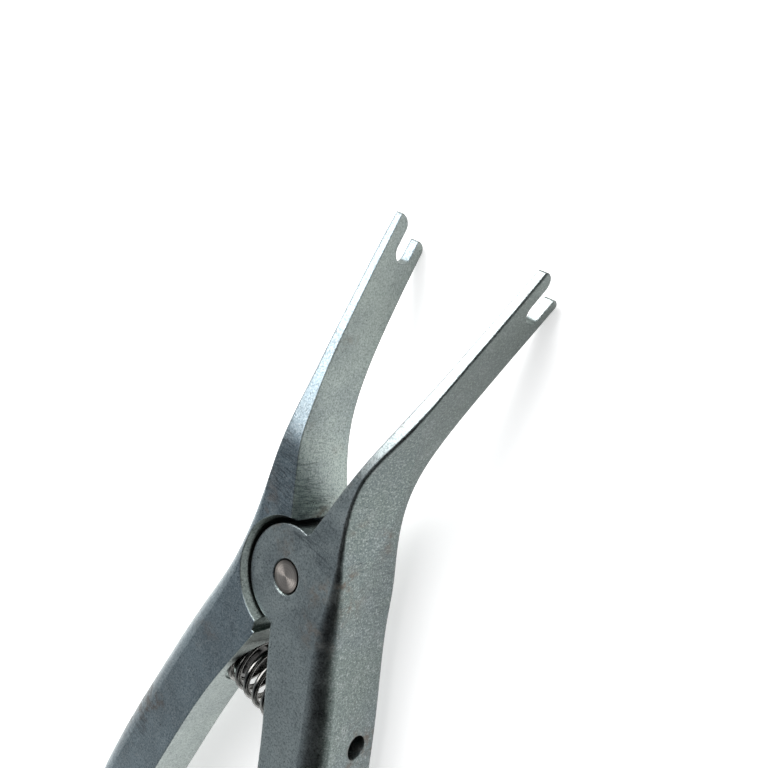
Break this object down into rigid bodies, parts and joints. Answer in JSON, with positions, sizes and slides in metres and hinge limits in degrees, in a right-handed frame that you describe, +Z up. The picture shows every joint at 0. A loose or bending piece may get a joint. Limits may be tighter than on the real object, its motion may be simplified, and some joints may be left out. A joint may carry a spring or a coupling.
{
  "type": "reverse-action fork-tipped pliers",
  "caption": "Reverse-action pliers with two forged levers, a flush pivot and a return spring; squeezing the handles spreads the forked jaws.",
  "frame": {"origin": "middle of the footprint, on the surface that the tool lies on, on its back", "axes": "+Y along the tool towards the jaws, +X to the right lever, +Z up through the front face"},
  "size_m": [0.0774, 0.1926, 0.0248],
  "materials": {
    "forged_steel": "satin, bead blasted",
    "pin_steel": "bright turned",
    "spring_steel": "polished dark wire"
  },
  "bodies": {
    "left_side": {"left_lever": "forged_steel", "pivot_pin": "pin_steel", "spring_post_left": "pin_steel", "return_spring": "spring_steel"},
    "right_side": {"right_lever": "forged_steel", "spring_post_right": "pin_steel"}
  },
  "joints": [
    {"name": "squeeze", "type": "hinge", "parent": "left_side", "child": "right_side", "pos_m": [0, 0.02197, 0.01434], "axis": [0, -0.0434, 0.9991], "range_deg": [-10, 0], "stiffness_Nm_per_rad": 6, "springref_deg": 3.44, "deforming": ["return_spring"]}
  ]
}
